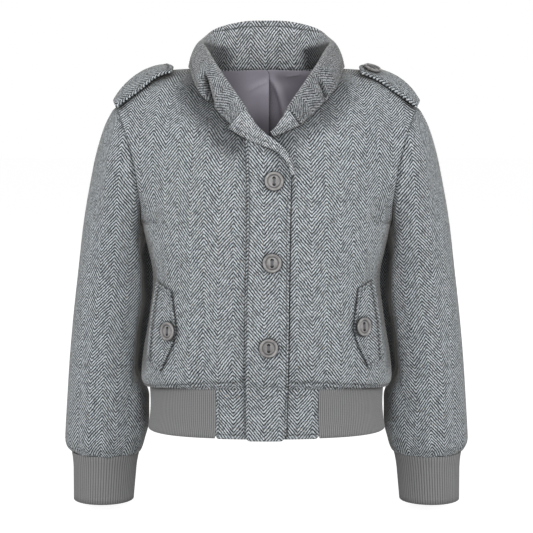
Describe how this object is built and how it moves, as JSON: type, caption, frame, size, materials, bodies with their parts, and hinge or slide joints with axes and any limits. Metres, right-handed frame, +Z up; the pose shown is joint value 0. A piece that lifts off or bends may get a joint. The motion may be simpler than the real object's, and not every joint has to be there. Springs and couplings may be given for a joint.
{
  "type": "short herringbone jacket",
  "caption": "Short blouson jacket of grey herringbone tweed, filled out with no wearer, with a rolled stand collar, buttoned placket, epaulettes, pocket flaps and knitted ribs at hem and cuffs.",
  "frame": {"origin": "between the shoulders at the height where the collar meets them, in the middle of the neck opening", "axes": "+Z up, -Y the way the front faces, +X to the wearer's left"},
  "size_m": [0.576, 0.2542, 0.6808],
  "materials": {
    "tweed": "matte herringbone twill",
    "rib_knit": "matte rib knit",
    "lining": "satin",
    "button": "satin"
  },
  "bodies": {
    "root": {"front_right": "tweed", "front_left": "tweed", "back": "tweed", "sleeve_right": "tweed", "sleeve_left": "tweed", "pocket_flap_right": "tweed", "pocket_flap_left": "tweed", "epaulette_right": "tweed", "epaulette_left": "tweed", "hem_tab_right": "tweed", "hem_tab_left": "tweed", "placket": "tweed", "collar": "tweed", "lapel_right": "tweed", "lapel_left": "tweed", "hem_rib": "rib_knit", "cuff_right": "rib_knit", "cuff_left": "rib_knit", "lining_back": "lining", "button_front_1": "button", "button_front_2": "button", "button_front_3": "button", "button_pocket_right": "button", "button_pocket_left": "button", "button_epaulette_left": "button"}
  },
  "joints": []
}
